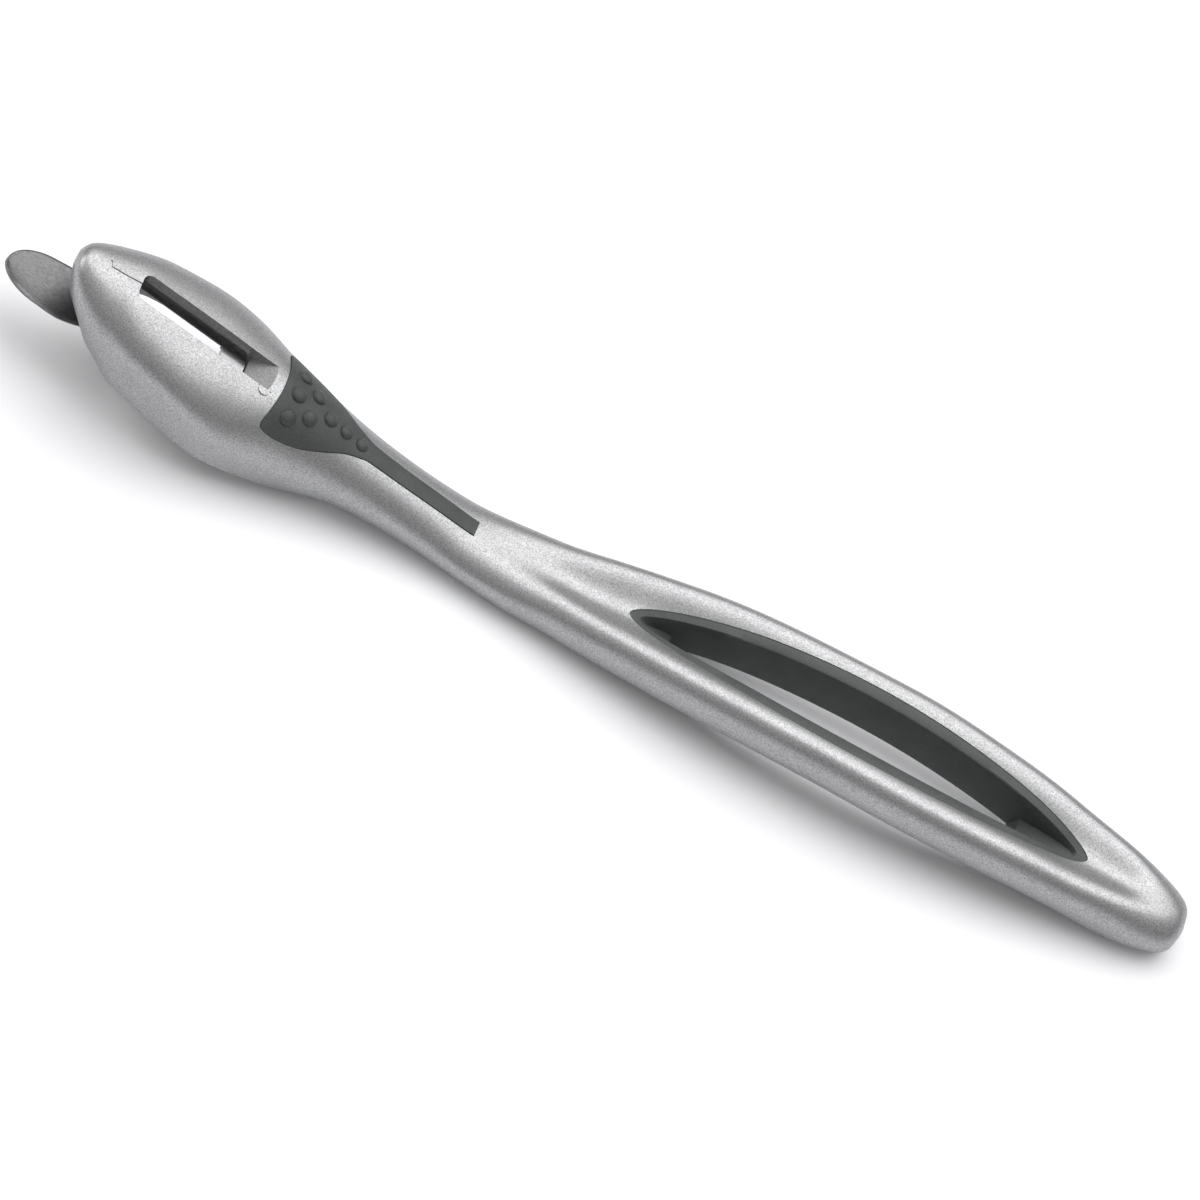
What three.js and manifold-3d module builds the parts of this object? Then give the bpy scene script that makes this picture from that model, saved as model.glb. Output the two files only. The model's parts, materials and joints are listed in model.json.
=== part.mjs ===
// Hooded in-line peeler with a finger-loop handle, a swivelling twin-edge blade and a leaf-shaped eye scoop.
// Millimetres, +Z up. The tool lies on the flats under its neck and tail; +X runs from the nose to the tail.
import * as THREE from 'three';
import { mergeVertices } from 'three/addons/utils/BufferGeometryUtils.js';
import Module from 'manifold-3d';

const wasm = await Module();
wasm.setup();

// ---- Driving dimensions -------------------------------------------------------------------------
const scoopReach = 8.9;         // leaf of the scoop in front of the nose
const hoodLength = 66.4;        // nose to the thin of the neck
const neckLength = 38;          // thin of the neck to the front of the finger loop
const loopLength = 82.3;        // finger loop, opening in the casting
const tailLength = 19.1;        // behind the loop
const hoodHalfWidth = 12;
const neckHalfWidth = 6.05;
const loopHalfWidth = 11.7;
const loopHalfDepth = 4.24;     // half the height of the two branches of the loop
const loopGapHalf = 6.85;       // widest half width of the opening in the casting
const leafSharpness = 0.55;     // how full the ends of the leaf-shaped opening are
const linerThickness = 2.07;    // rubber band that lines the opening
const linerDrop = 1.6;           // how far the liner reaches below the casting
const linerRampFront = 10.5;    // how far the liner's end walls slope in, front and rear
const linerRampRear = 7.5;
const hoodWall = 1.9;
const mouthExtra = 3;           // the cavity's form runs on this far below the casting's, so it opens straight
const hoodDepth = 13.4;         // crest to the rim that the hood is open at
const hoodFall = 13.87;         // how far the crest over the slot would fall along the hood
const slotLength = 26.8;
const slotHalfWidth = 2.45;
const slotRampLength = 4.4;
const slotRampDepth = 3.1;
const bladeRadius = 5.6;        // outer radius of the arched blade, about its pivot axis
const bladeThickness = 0.8;
const bladeAxisDepth = 8.4;     // crest to the pivot axis
const bladeHalfAngle = THREE.MathUtils.degToRad(75);
const bladeSwing = THREE.MathUtils.degToRad(15);
const bladeFrontHalf = 2.9;     // half width of the blade's front end
const bladeEndGap = 0.4;        // between the blade's end tabs and the casting
const slitHalfWidth = 1.2;
const slitWeb = 4.5;            // blade metal behind the slit
const tabThickness = 0.9;
const pivotPinRadius = 1;
const pivotClearance = 0.06;
const stopPinRadius = 0.7;
const stopPinDrop = 3.6;        // stop pin below the pivot axis
const pressGap = 0.05;          // pressed pins and rivets in their holes
const seatGap = 0.3;            // rubber and scoop on the casting
const padDepth = 1.2;
const padProud = 0.3;
const padHalfWidth = 7.5;
const padLength = 16.5;
const stripeLength = 21.6;
const stripeHalfWidth = 1.45;
const bumpRadius = 1.15;
const bumpHeight = 0.6;
const bumpPitch = 3.2;
const scoopThickness = 0.9;
const scoopHalfWidth = 4.7;
const scoopDroop = 1.5;
const rivetRadius = 0.8;
const rivetHeadRadius = 1.5;
const rivetPitch = 3;
const restHeight = 0.5;         // raises the round underside so that the two resting flats lie at zero

// ---- Places along the tool ----------------------------------------------------------------------
const overall = scoopReach + hoodLength + neckLength + loopLength + tailLength;
const noseX = scoopReach - overall / 2;
const neckX = noseX + hoodLength;
const loopX = neckX + neckLength;
const tailX = loopX + loopLength;
const endX = tailX + tailLength;
const headX = noseX + 0.3615 * hoodLength;     // middle of the slot
const hoodPitch = Math.atan(hoodFall / hoodLength);
const skirtStretch = hoodDepth / 13.4;

// Sections: place, height of the widest point, half width, depth above it, depth below it, squareness
// above and below. Between them every value follows a smooth curve.
const hood = (part, axis, width, above, below, square, skirt) =>
  [noseX + part * hoodLength, axis + restHeight, width * hoodHalfWidth, above,
    below * (part < 0.55 ? skirtStretch : 1), square, skirt];
const neck = (part, axis, width, above, below, square) =>
  [neckX + part * neckLength, axis + restHeight, width * neckHalfWidth, above, below, square, square];
const loop = (part, axis, width, square) =>
  [loopX + part * loopLength, axis + restHeight, width * loopHalfWidth, loopHalfDepth, loopHalfDepth,
    square, square];
const tail = (part, axis, width, depth, square) =>
  [tailX + part * tailLength, axis + restHeight, width * loopHalfWidth, depth, depth, square, square];

const sections = [
  hood(0, 20.9, 0.12, 1.1, 1.2, 2, 2),
  hood(0.012, 20.2, 0.26, 2.7, 3.0, 2, 2),
  hood(0.032, 19.1, 0.395, 4.15, 4.5, 2, 2),
  hood(0.075, 17.5, 0.57, 5.6, 5.9, 2, 2.1),
  hood(0.119, 16.4, 0.695, 6.5, 8.0, 2.05, 2.4),
  hood(0.169, 16.1, 0.78, 6.8, 10.0, 2.1, 2.9),
  hood(0.218, 15.8, 0.855, 6.5, 12.5, 2.1, 3.8),
  hood(0.351, 14.35, 0.955, 6.1, 14.0, 2.1, 4),
  hood(0.424, 12.3, 0.995, 7.1, 13.5, 2.1, 4),
  hood(0.502, 9.9, 0.98, 8.3, 12.0, 2.05, 3.8),
  hood(0.606, 7.3, 0.83, 9.65, 10.0, 2, 3),
  hood(0.725, 6.5, 0.665, 8.3, 7.6, 2, 2.4),
  hood(0.825, 6.33, 0.56, 6.44, 6.6, 2, 2),
  hood(0.935, 5.6, 0.508, 5.35, 5.8, 2, 2),
  neck(0.097, 4.5, 1, 4.8, 4.9, 2),
  neck(0.28, 3.7, 1.07, 4.2, 4.3, 2.1),
  neck(0.52, 3.65, 1.2, 4.2, 4.3, 2.2),
  neck(0.69, 4.2, 1.26, 4.22, 4.22, 2.4),
  neck(0.89, 5.25, 1.43, 4.24, 4.24, 2.7),
  loop(0.03, 6.2, 0.8, 2.8),
  loop(0.158, 7.6, 0.9, 3),
  loop(0.282, 8.5, 0.945, 3),
  loop(0.476, 9.08, 0.97, 3),
  loop(0.628, 9.0, 0.975, 3),
  loop(0.805, 8.15, 0.895, 3),
  loop(0.897, 7.45, 0.825, 2.8),
  loop(0.988, 6.35, 0.735, 2.6),
  tail(0.356, 5.0, 0.64, 5.0, 2.3),
  tail(0.65, 4.2, 0.565, 5.1, 2.1),
  tail(0.865, 3.8, 0.45, 4.3, 2),
  tail(0.965, 3.65, 0.31, 2.9, 2),
  tail(1, 3.6, 0.1, 0.8, 2),
];

// ---- Solids -------------------------------------------------------------------------------------
function toSolid(geometry) {
  const bare = geometry.index ? geometry.toNonIndexed() : geometry.clone();
  for (const name of Object.keys(bare.attributes)) {
    if (name !== 'position') bare.deleteAttribute(name);
  }
  const merged = mergeVertices(bare, 1e-5);
  return new wasm.Manifold(new wasm.Mesh({
    numProp: 3,
    vertProperties: new Float32Array(merged.attributes.position.array),
    triVerts: new Uint32Array(merged.index.array),
  }));
}

function toGeometry(solid) {
  const mesh = solid.getMesh();
  const geometry = new THREE.BufferGeometry();
  geometry.setAttribute('position', new THREE.BufferAttribute(mesh.vertProperties, 3));
  geometry.setIndex(new THREE.BufferAttribute(mesh.triVerts, 1));
  return geometry;
}

// Skin through rings of equal count, closed by a fan at each end.
function skin(rings) {
  const count = rings[0].length;
  const points = rings.flat();
  const middle = (ring) => ring.reduce((sum, p) => sum.add(p), new THREE.Vector3()).divideScalar(count);
  points.push(middle(rings[0]), middle(rings[rings.length - 1]));
  const index = [];
  for (let i = 0; i + 1 < rings.length; i += 1) {
    for (let j = 0; j < count; j += 1) {
      const a = i * count + j;
      const b = i * count + (j + 1) % count;
      index.push(a, b, b + count, a, b + count, a + count);
    }
  }
  const last = (rings.length - 1) * count;
  for (let j = 0; j < count; j += 1) {
    const next = (j + 1) % count;
    index.push(rings.length * count, next, j);
    index.push(rings.length * count + 1, last + j, last + next);
  }
  const geometry = new THREE.BufferGeometry();
  geometry.setAttribute('position', new THREE.Float32BufferAttribute(points.flatMap((p) => p.toArray()), 3));
  geometry.setIndex(index);
  return geometry;
}

// A band whose section rings close on themselves, such as a liner round an opening.
function closedBand(rings) {
  const count = rings[0].length;
  const index = [];
  for (let i = 0; i < rings.length; i += 1) {
    const next = (i + 1) % rings.length;
    for (let j = 0; j < count; j += 1) {
      const k = (j + 1) % count;
      index.push(i * count + j, next * count + k, i * count + k);
      index.push(i * count + j, next * count + j, next * count + k);
    }
  }
  const geometry = new THREE.BufferGeometry();
  const numbers = rings.flat().flatMap((p) => p.toArray());
  geometry.setAttribute('position', new THREE.Float32BufferAttribute(numbers, 3));
  geometry.setIndex(index);
  return geometry;
}

// Outline in the XY plane raised between two heights.
function prism(outline, low, high) {
  const shape = new THREE.Shape(outline.map(([x, y]) => new THREE.Vector2(x, y)));
  const geometry = new THREE.ExtrudeGeometry(shape, { depth: high - low, bevelEnabled: false });
  return geometry.translate(0, 0, low);
}

// Outline in the YZ plane run along X between two places.
const yzToX = new THREE.Matrix4().set(0, 0, 1, 0, 1, 0, 0, 0, 0, 1, 0, 0, 0, 0, 0, 1);
function bar(shape, from, to, segments = 12) {
  const options = { depth: to - from, bevelEnabled: false, curveSegments: segments };
  return new THREE.ExtrudeGeometry(shape, options).translate(0, 0, from).applyMatrix4(yzToX);
}

function block(x0, x1, y0, y1, z0, z1) {
  const geometry = new THREE.BoxGeometry(x1 - x0, y1 - y0, z1 - z0);
  return geometry.translate((x0 + x1) / 2, (y0 + y1) / 2, (z0 + z1) / 2);
}

function rod(radius, from, to, depth) {
  const turn = Math.PI / 24;
  const geometry = new THREE.CylinderGeometry(radius, radius, to - from, 24).rotateY(turn);
  return geometry.rotateZ(Math.PI / 2).translate((from + to) / 2, 0, depth);
}

// ---- The body's smooth form ---------------------------------------------------------------------
function blend(before, from, to, after, t) {
  const value = [];
  for (let i = 0; i < from.length; i += 1) {
    const span = to[0] - from[0];
    const slopeIn = span * (to[i] - before[i]) / (to[0] - before[0]);
    const slopeOut = span * (after[i] - from[i]) / (after[0] - from[0]);
    const cube = t * t * t;
    const square = t * t;
    value.push((2 * cube - 3 * square + 1) * from[i] + (cube - 2 * square + t) * slopeIn
      + (3 * square - 2 * cube) * to[i] + (cube - square) * slopeOut);
  }
  return value;
}

function sectionAt(x) {
  const last = sections.length - 1;
  let i = 0;
  while (i < last - 1 && x > sections[i + 1][0]) i += 1;
  const before = sections[Math.max(i - 1, 0)];
  const after = sections[Math.min(i + 2, last)];
  const t = (x - sections[i][0]) / (sections[i + 1][0] - sections[i][0]);
  return blend(before, sections[i], sections[i + 1], after, t);
}

const ringSteps = 28;
function ringAt(section, inset, skirtInset = inset) {
  const [x, axis, width, above, below, square, skirt] = section;
  const ring = [];
  for (let j = 0; j < ringSteps; j += 1) {
    const angle = 2 * Math.PI * j / ringSteps;
    const up = Math.sin(angle) >= 0;
    const power = 2 / (up ? square : skirt);
    const depth = up ? above - inset : below - skirtInset;
    const y = (width - inset) * Math.sign(Math.cos(angle)) * Math.abs(Math.cos(angle)) ** power;
    const z = depth * Math.sign(Math.sin(angle)) * Math.abs(Math.sin(angle)) ** power;
    ring.push(new THREE.Vector3(x, y, axis + z));
  }
  return ring;
}

function bodyForm(inset, from, to, steps, skirtInset = inset) {
  const rings = [];
  for (let i = 0; i <= steps; i += 1) {
    rings.push(ringAt(sectionAt(from + (to - from) * i / steps), inset, skirtInset));
  }
  return toSolid(skin(rings));
}

function fullBody() {
  const rings = [];
  for (let i = 0; i + 1 < sections.length; i += 1) {
    const middle = (sections[i][0] + sections[i + 1][0]) / 2;
    rings.push(ringAt(sections[i], 0));
    if (sections[i + 1][0] - sections[i][0] > 4) rings.push(ringAt(sectionAt(middle), 0));
  }
  rings.push(ringAt(sections[sections.length - 1], 0));
  return toSolid(skin(rings));
}

function crestAt(x, y = 0, inset = 0) {
  const [, axis, width, above, , square] = sectionAt(x);
  return axis + (above - inset) * (1 - Math.abs(y / (width - inset)) ** square) ** (1 / square);
}

// ---- Head frame: +X back along the crest, +Z out of the crest, origin on the crest over the slot's middle
const head = new THREE.Group();
head.position.set(headX, 0, crestAt(headX));
head.rotation.y = hoodPitch;
head.updateMatrixWorld(true);
const inHead = (geometry) => toSolid(geometry.applyMatrix4(head.matrixWorld));

const slotFront = -slotLength / 2;
const slotRear = slotLength / 2;
const rampFoot = slotRear - slotRampLength;
const bladeFront = slotFront - 1.2;
const bladeRear = rampFoot - bladeEndGap;
const cavityFront = bladeFront - bladeEndGap;
const cavityRear = slotRear + 2;
const rimDepth = -hoodDepth;
const bossHalfWidth = 4.4;
const scoopBossRear = slotFront + 4.8;
const scoopBossRoof = rimDepth + 2.2;
const scoopBossHalfWidth = 3.2;
const far = 40;

function slotCutter() {
  const outline = [
    [slotFront, -bladeAxisDepth + 1], [slotFront, far], [slotRear + 0.4, far], [slotRear + 0.1, 0.2],
    [rampFoot, -slotRampDepth], [rampFoot, -bladeAxisDepth + 1],
  ];
  const geometry = prism(outline, -slotHalfWidth, slotHalfWidth).rotateX(Math.PI / 2);
  return inHead(geometry);
}

function hoodCavity() {
  const inner = bodyForm(hoodWall, noseX + 3, neckX - 8, 26, -mouthExtra);
  const room = inHead(block(cavityFront, cavityRear, -far, far, -far, far));
  const rearBoss = inHead(block(rampFoot, cavityRear + 1, -bossHalfWidth, bossHalfWidth, rimDepth - 1, far));
  const scoopBoss = inHead(block(cavityFront - 1, scoopBossRear, -scoopBossHalfWidth, scoopBossHalfWidth,
    rimDepth - 1, scoopBossRoof));
  return inner.intersect(room).subtract(rearBoss).subtract(scoopBoss);
}

// Half width of the leaf-shaped opening, and points round it, both taken in by an inset.
function leafOutline(inset, steps) {
  const points = [];
  const half = loopLength / 2 - inset;
  const wide = loopGapHalf - inset;
  for (let i = 0; i < steps; i += 1) {
    const angle = 2 * Math.PI * i / steps;
    const x = loopX + loopLength / 2 - half * Math.cos(angle);
    const along = 0.5 - 0.5 * Math.cos(angle);
    const y = -Math.sign(Math.sin(angle)) * wide * Math.sin(Math.PI * along) ** leafSharpness;
    points.push([x, Math.abs(Math.sin(angle)) < 1e-9 ? 0 : y]);
  }
  return points;
}

function padOutline(spread) {
  const front = headX + slotRear * Math.cos(hoodPitch) + 1.7;
  const rear = front + padLength + stripeLength;
  const waist = front + padLength;
  const half = [
    [front, 0], [front - 0.25, 3.6], [front - 0.8, 6.6], [front - 0.2, padHalfWidth],
    [front + 2.6, padHalfWidth - 0.2], [front + 6.4, padHalfWidth - 1.2], [front + 10.4, padHalfWidth - 2.9],
    [front + 13.4, padHalfWidth - 4.4], [waist, stripeHalfWidth + 0.45],
    [waist + 2.6, stripeHalfWidth + 0.15], [rear, stripeHalfWidth - 0.15],
  ];
  const middle = new THREE.Vector2(front + 6, 0);
  const spreadPoint = ([x, y]) => [
    x + spread * (x < middle.x ? -1 : Number(x === rear)),
    y === 0 ? 0 : y + spread,
  ];
  const upper = half.map(spreadPoint);
  const lower = upper.filter(([, y]) => y > 0).map(([x, y]) => [x, -y]).reverse();
  return [...lower, ...upper];
}

const padX = padOutline(0).reduce((low, [x]) => Math.min(low, x), far);
const padRearX = padOutline(0).reduce((high, [x]) => Math.max(high, x), -far * 3);

function padForm(inset) {
  return bodyForm(inset, padX - 4, padRearX + 4, 30);
}

function padBlank(spread) {
  return toSolid(prism(padOutline(spread), hoodDepth / 2 - 1.2, far));
}

// ---- Pieces -------------------------------------------------------------------------------------
function bodyCasting() {
  const rimEnd = (head.position.z + rimDepth * Math.cos(hoodPitch)) / Math.sin(hoodPitch);
  const belowRim = inHead(block(-far, rimEnd, -far, far, -far, rimDepth));
  const pinHoles = [
    rod(pivotPinRadius + pressGap, bladeFront - 4.2, cavityFront + 1, -bladeAxisDepth),
    rod(pivotPinRadius + pressGap, rampFoot - 1, rampFoot + 4.2, -bladeAxisDepth),
    rod(stopPinRadius + pressGap, rampFoot - 1, rampFoot + 3.7, -bladeAxisDepth - stopPinDrop),
  ];
  let solid = fullBody();
  solid = solid.subtract(toSolid(block(-far * 3, far * 3, -far, far, -far, 0)));
  solid = solid.subtract(belowRim).subtract(hoodCavity()).subtract(slotCutter());
  solid = solid.subtract(toSolid(prism(leafOutline(0, 44), -far, far)));
  solid = solid.subtract(padBlank(seatGap).subtract(padForm(padDepth + seatGap)));
  for (const hole of pinHoles) solid = solid.subtract(inHead(hole));
  for (const place of rivetPlaces) solid = solid.subtract(inHead(rivetHole(place)));
  return toGeometry(solid);
}

function thumbPad() {
  let solid = padForm(-padProud).subtract(padForm(padDepth)).intersect(padBlank(0));
  const first = padX + 3.4;
  const places = [[0, 0], [0, 4.2], [0, -4.2], [1, 2.2], [1, -2.2], [2, 0], [3, 0], [4, 0]];
  for (const [row, y] of places) {
    const x = first + row * bumpPitch;
    const radius = bumpRadius * (1 - 0.04 * row);
    const dome = new THREE.SphereGeometry(radius, 12, 6).rotateX(Math.PI / 2).scale(1, 1, bumpHeight / radius);
    solid = solid.add(toSolid(dome.translate(x, y, crestAt(x, y, -padProud) - 0.05)));
  }
  return toGeometry(solid);
}

function gripLiner() {
  const steps = 44;
  const outer = leafOutline(seatGap, steps);
  const inner = leafOutline(linerThickness, steps);
  const middle = loopX + loopLength / 2;
  const rings = outer.map(([x, y], i) => {
    const [innerX, innerY] = inner[i];
    const lean = (innerX - middle) / (loopLength / 2);
    const slope = lean < 0 ? linerRampFront : linerRampRear;
    const footX = innerX - slope * lean * Math.abs(lean) ** 7;
    const [, axis] = sectionAt(x);
    const [, innerAxis] = sectionAt(innerX);
    const [, footAxis] = sectionAt(footX);
    return [
      new THREE.Vector3(x, y, axis + loopHalfDepth),
      new THREE.Vector3(innerX, innerY, innerAxis + loopHalfDepth),
      new THREE.Vector3(footX, innerY, footAxis - loopHalfDepth - linerDrop),
      new THREE.Vector3(x, y, axis - loopHalfDepth - linerDrop),
    ];
  });
  return toGeometry(toSolid(closedBand(rings)));
}

function swivelBlade() {
  const arch = new THREE.Shape();
  const start = Math.PI / 2 - bladeHalfAngle;
  const stop = Math.PI / 2 + bladeHalfAngle;
  arch.absarc(0, 0, bladeRadius, start, stop, false);
  arch.absarc(0, 0, bladeRadius - bladeThickness, stop, start, true);
  const disc = new THREE.Shape();
  disc.absarc(0, 0, bladeRadius - bladeThickness / 2, 0, 2 * Math.PI, false);
  const holeRadius = pivotPinRadius + pivotClearance;
  const notch = (stopPinDrop + stopPinRadius) * Math.sin(bladeSwing) + stopPinRadius + 0.25;
  const slitRear = bladeRear - slitWeb;
  const slitFront = slotFront + 0.8;
  const plan = prism([
    [bladeFront, -bladeFrontHalf], [slotFront + 4, -bladeRadius], [bladeRear - 3, -bladeRadius], [bladeRear, -4.6],
    [bladeRear, 4.6], [bladeRear - 3, bladeRadius], [slotFront + 4, bladeRadius], [bladeFront, bladeFrontHalf],
  ], -far, far);
  let solid = toSolid(bar(arch, bladeFront, bladeRear, 24));
  solid = solid.subtract(toSolid(block(slitFront, slitRear, -slitHalfWidth, slitHalfWidth, 0, far)));
  solid = solid.add(toSolid(bar(disc, bladeRear - tabThickness, bladeRear, 20)));
  const frontTab = toSolid(bar(disc, bladeFront, bladeFront + tabThickness, 20));
  const frontKeep = block(-far, far, -bladeFrontHalf, bladeFrontHalf, -pivotPinRadius - 0.6, far);
  solid = solid.add(frontTab.intersect(toSolid(frontKeep)));
  solid = solid.intersect(toSolid(plan));
  solid = solid.subtract(toSolid(rod(holeRadius, bladeFront - 1, bladeRear + 1, 0)));
  solid = solid.subtract(toSolid(block(bladeRear - 2, bladeRear + 1, -notch, notch, -far, -stopPinDrop + 1.3)));
  return toGeometry(solid).translate(0, 0, -bladeAxisDepth);
}

const pivotReach = 0.7;         // pin end past the inner face of the blade's tab
const frontPin = () => rod(pivotPinRadius, bladeFront - 4, bladeFront + tabThickness + pivotReach,
  -bladeAxisDepth);
const rearPin = () => rod(pivotPinRadius, bladeRear - tabThickness - pivotReach, rampFoot + 4,
  -bladeAxisDepth);
const stopPin = () => rod(stopPinRadius, bladeRear - tabThickness - pivotReach, rampFoot + 3.5,
  -bladeAxisDepth - stopPinDrop);

// Shank top and rivets
const shankTop = rimDepth - seatGap;
const shankRear = scoopBossRear - 0.3;
const rivetPlaces = [shankRear - 1.7 - rivetPitch, shankRear - 1.7];
const rivetTip = rimDepth + 1.5;

function rivetHole(place) {
  const geometry = new THREE.CylinderGeometry(rivetRadius + pressGap, rivetRadius + pressGap, 4, 20);
  return geometry.rotateX(Math.PI / 2).translate(place, 0, rivetTip + pressGap - 2);
}

function scoopRivet(place) {
  const under = shankTop - scoopThickness - 0.05;
  const profile = [
    [0, under - 0.6], [rivetHeadRadius * 0.6, under - 0.5], [rivetHeadRadius, under - 0.1],
    [rivetHeadRadius, under], [rivetRadius, under], [rivetRadius, rivetTip], [0, rivetTip],
  ];
  const points = profile.map(([r, z]) => new THREE.Vector2(r, z));
  const turned = toSolid(new THREE.LatheGeometry(points, 20).rotateX(Math.PI / 2));
  return toGeometry(turned).translate(place, 0, 0);
}

function eyeScoop() {
  const tipDepth = shankTop - scoopDroop - scoopThickness;
  const tip = (noseX - scoopReach - headX - tipDepth * Math.sin(hoodPitch)) / Math.cos(hoodPitch);
  const reach = shankRear - tip;
  const leafEnd = (rivetPlaces[0] - rivetHeadRadius - 0.4 - tip) / reach;
  const leaf = [
    [0, 0.07], [0.02, 0.2], [0.06, 0.4], [0.13, 0.62], [0.23, 0.84], [0.36, 0.97], [0.5, 1],
    [0.62, 0.9], [0.74, 0.72], [0.84, 0.64], [1, 0.62],
  ];
  const rings = leaf.map(([part, width]) => {
    const half = width * scoopHalfWidth;
    const x = tip + part * reach;
    const droop = scoopDroop * Math.max(0, 1 - part / leafEnd) ** 1.5;
    const dish = 0.5 * Math.max(0, 1 - part / leafEnd) * width;
    const top = shankTop - droop;
    const ring = [];
    for (const side of [1, 0.5, 0, -0.5, -1]) {
      ring.push(new THREE.Vector3(x, side * half, top - dish * (1 - side * side)));
    }
    for (const side of [-1, -0.5, 0, 0.5, 1]) {
      ring.push(new THREE.Vector3(x, side * half, top - scoopThickness - dish * (1 - side * side)));
    }
    return ring;
  });
  let solid = toSolid(skin(rings));
  for (const place of rivetPlaces) solid = solid.subtract(toSolid(rivetHole(place)));
  return toGeometry(solid);
}

// ---- Assembly -----------------------------------------------------------------------------------
const satin = { color: 0xb9bbbd, roughness: 0.38, metalness: 0.9 };
const rubber = { color: 0x484c4b, roughness: 0.75, metalness: 0 };
const bladeSteel = { color: 0x7d8082, roughness: 0.3, metalness: 1 };
const pinSteel = { color: 0x9a9c9e, roughness: 0.35, metalness: 1 };

function piece(name, geometry, finish) {
  const mesh = new THREE.Mesh(geometry, new THREE.MeshStandardMaterial(finish));
  mesh.name = name;
  return mesh;
}

head.add(
  piece('swivel_blade', swivelBlade(), bladeSteel),
  piece('front_pivot_pin', toGeometry(toSolid(frontPin())), pinSteel),
  piece('rear_pivot_pin', toGeometry(toSolid(rearPin())), pinSteel),
  piece('blade_stop_pin', toGeometry(toSolid(stopPin())), pinSteel),
  piece('eye_scoop', eyeScoop(), bladeSteel),
  piece('scoop_rivet_front', scoopRivet(rivetPlaces[0]), pinSteel),
  piece('scoop_rivet_rear', scoopRivet(rivetPlaces[1]), pinSteel),
);

const peeler = new THREE.Group();
peeler.add(
  piece('body_casting', bodyCasting(), satin),
  piece('thumb_pad', thumbPad(), rubber),
  piece('grip_liner', gripLiner(), rubber),
  head,
);

export default peeler;
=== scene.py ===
"""Hooded peeler with a finger-loop handle: fine meshes, finishes, camera and studio on the CAD frame."""
import json
import math

import bmesh
import bpy
from mathutils import Matrix, Vector


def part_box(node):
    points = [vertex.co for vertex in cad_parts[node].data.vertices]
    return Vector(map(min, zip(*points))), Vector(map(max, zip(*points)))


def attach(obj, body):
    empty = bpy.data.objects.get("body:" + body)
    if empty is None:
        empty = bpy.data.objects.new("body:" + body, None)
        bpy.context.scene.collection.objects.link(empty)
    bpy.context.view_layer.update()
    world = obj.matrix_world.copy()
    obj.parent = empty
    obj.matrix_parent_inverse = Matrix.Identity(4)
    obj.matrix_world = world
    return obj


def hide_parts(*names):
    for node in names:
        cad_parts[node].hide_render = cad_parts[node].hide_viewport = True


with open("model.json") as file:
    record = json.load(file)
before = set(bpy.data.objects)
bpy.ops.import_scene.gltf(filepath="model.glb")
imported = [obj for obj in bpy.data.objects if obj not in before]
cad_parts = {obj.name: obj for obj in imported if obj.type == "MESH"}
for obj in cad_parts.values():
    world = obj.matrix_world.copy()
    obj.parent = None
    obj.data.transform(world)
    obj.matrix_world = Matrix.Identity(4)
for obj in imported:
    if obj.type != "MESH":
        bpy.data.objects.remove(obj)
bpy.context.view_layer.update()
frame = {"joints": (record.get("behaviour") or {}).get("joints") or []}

# ---- Sizes, in millimetres unless a name says otherwise ------------------------------------------
MM = 0.001
casting_low, casting_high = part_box("body_casting")
NOSE = casting_low.x / MM
END = casting_high.x / MM
LOOP_LENGTH = 82.3
TAIL_LENGTH = 19.1
NECK_LENGTH = 38.0
TAIL = END - TAIL_LENGTH
LOOP = TAIL - LOOP_LENGTH
NECK = LOOP - NECK_LENGTH
HOOD_LENGTH = NECK - NOSE
HOOD_HALF_WIDTH = 11.98
NECK_HALF_WIDTH = 6.05
LOOP_HALF_WIDTH = 11.4
LOOP_HALF_DEPTH = 4.2
ROLL_WIDTH = 2.9            # crest of a loop branch to its outer side
LOOP_GAP_HALF = 6.85
LEAF_SHARPNESS = 0.55       # how blunt the ends of the loop's opening are
ROLL_SQUARENESS = 2.1
VALLEY_DEPTH = 0.2          # height of the web between the branches, as a share of the half depth
VALLEY_RISE_FRONT = 0.34
VALLEY_RISE_REAR = 0.42
LINER_THICKNESS = 2.07
LINER_DROP = 1.5
LINER_RAMP_FRONT = 10.5
LINER_RAMP_REAR = 7.5
HOOD_WALL = 1.9
MOUTH_EXTRA = 3.0
HOOD_DEPTH = 13.4
REAR_BOSS_HALF_WIDTH = 4.4
SLOT_PLACE = 0.3615         # middle of the slot, as a share of the hood's length
SLOT_LENGTH = 26.8
SLOT_HALF_WIDTH = 2.45
SLOT_DEPTH = 6.5
SLOT_CORNER = 1.5
SLOT_RAMP_LENGTH = 4.4
SLOT_RAMP_DEPTH = 3.1
BLADE_RADIUS = 5.6
BLADE_THICKNESS = 0.8
BLADE_AXIS_DEPTH = 8.4
BLADE_HALF_ANGLE = math.radians(75)
BLADE_SWING = math.radians(15)
BLADE_LEAD = 1.2            # how far the blade starts ahead of the slot
BLADE_END_GAP = 0.4
SLIT_HALF_WIDTH = 1.2
SLIT_WEB = 4.5
TAB_THICKNESS = 0.9
FRONT_TAB_HALF_WIDTH = 2.9
REAR_TAB_HALF_WIDTH = 4.6
PIVOT_PIN_RADIUS = 1.0
PIVOT_PIN_DEPTH = 4.0
STOP_PIN_RADIUS = 0.7
STOP_PIN_DEPTH = 3.5
STOP_PIN_DROP = 3.6
PIN_REACH = 1.6             # how far a pin stands into the blade's tab
PIN_CLEARANCE = 0.05
BLADE_CLEARANCE = 0.06
SCOOP_REACH = 8.9           # how far the leaf stands out in front of the nose
SCOOP_HALF_WIDTH = 4.8
SCOOP_THICKNESS = 0.9
SCOOP_DROOP = 1.5
SCOOP_BOSS_REACH = 4.8
SCOOP_BOSS_HALF_WIDTH = 3.2
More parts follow.
